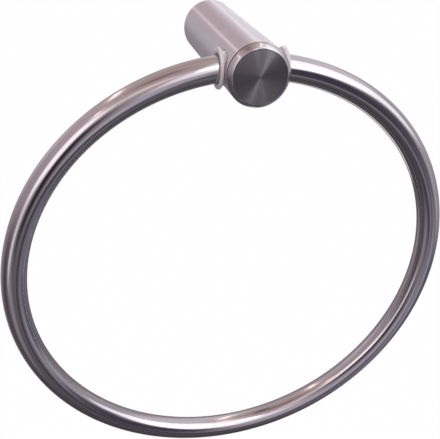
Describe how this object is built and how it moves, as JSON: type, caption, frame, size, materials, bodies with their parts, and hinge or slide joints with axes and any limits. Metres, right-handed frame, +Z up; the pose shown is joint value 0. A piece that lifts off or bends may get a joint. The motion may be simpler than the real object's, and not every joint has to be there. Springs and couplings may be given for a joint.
{
  "type": "towel ring",
  "caption": "Round towel ring of bent satin steel rod that swings in flanged bushes through a short round wall post with a bevelled front cap.",
  "frame": {"origin": "centre of the post's wall face, on the axis of the wall screw's hole", "axes": "+Y into the wall along the post, +X to the right as seen from the room, +Z up"},
  "size_m": [0.1834, 0.0719, 0.1893],
  "materials": {
    "satin_steel": "satin stainless, polished along the ring and turned around the post",
    "turned_steel": "stainless with fine concentric turning marks on the face",
    "nylon": "milky translucent white",
    "plain_steel": "plain turned steel"
  },
  "bodies": {
    "post": {"post_tube": "satin_steel", "front_cap": "turned_steel", "left_bush": "nylon", "right_bush": "nylon", "wall_boss": "plain_steel", "grub_screw": "plain_steel"},
    "ring": {"ring": "satin_steel", "ring_joint_pin": "plain_steel"}
  },
  "joints": [
    {"name": "ring_swing", "type": "hinge", "parent": "post", "child": "ring", "pos_m": [0, -0.0604, 0], "axis": [-1, 0, 0], "range_deg": [-18.5, 198.5]}
  ]
}
